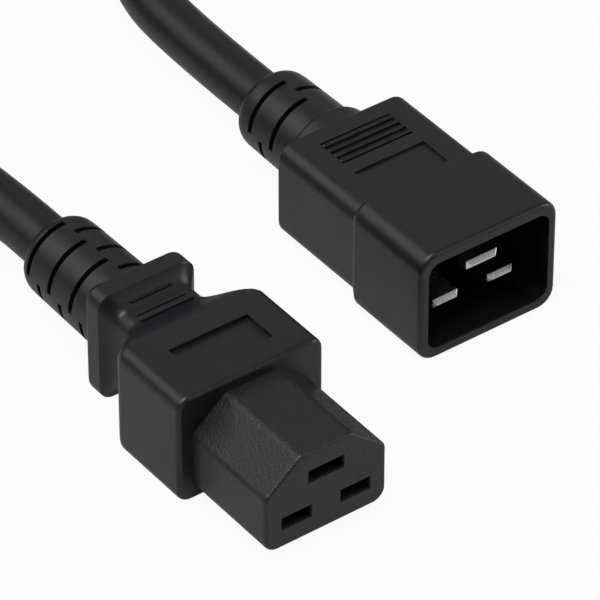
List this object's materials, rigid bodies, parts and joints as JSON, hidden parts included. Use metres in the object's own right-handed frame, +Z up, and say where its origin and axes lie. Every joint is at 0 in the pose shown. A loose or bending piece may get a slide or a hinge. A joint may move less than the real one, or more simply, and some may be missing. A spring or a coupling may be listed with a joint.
{
  "type": "power cable",
  "caption": "Black mains lead with a slotted socket connector at one end, a shrouded blade plug at the other, slotted strain reliefs and its cable coiled.",
  "frame": {"origin": "on the surface that the lead lies on, under the middle of the socket connector", "axes": "+X across the connector, +Y from its mating face to its cable, +Z up"},
  "size_m": [0.1318, 0.3302, 0.0248],
  "materials": {
    "overmould": "satin black",
    "insert": "matt black",
    "nickel": "nickel plate",
    "contact_metal": "satin",
    "copper": "bare copper",
    "core_line": "satin",
    "core_neutral": "satin",
    "core_earth": "satin",
    "jacket": "satin black",
    "tie": "woven strap"
  },
  "bodies": {
    "root": {"cable_coil": "jacket", "cable_coil_tie": "tie", "cable_run_connector": "jacket", "cable_run_plug": "jacket", "connector_contact_earth": "contact_metal", "connector_contact_line": "contact_metal", "connector_contact_neutral": "contact_metal", "connector_core_earth": "core_earth", "connector_core_line": "core_line", "connector_core_neutral": "core_neutral", "connector_insert": "insert", "connector_jacket_end": "jacket", "connector_overmould": "overmould", "connector_strands_earth": "copper", "connector_strands_line": "copper", "connector_strands_neutral": "copper", "plug_blade_earth": "nickel", "plug_blade_line": "nickel", "plug_blade_neutral": "nickel", "plug_core_earth": "core_earth", "plug_core_line": "core_line", "plug_core_neutral": "core_neutral", "plug_insert": "insert", "plug_jacket_end": "jacket", "plug_overmould": "overmould", "plug_strands_earth": "copper", "plug_strands_line": "copper", "plug_strands_neutral": "copper"}
  },
  "joints": []
}
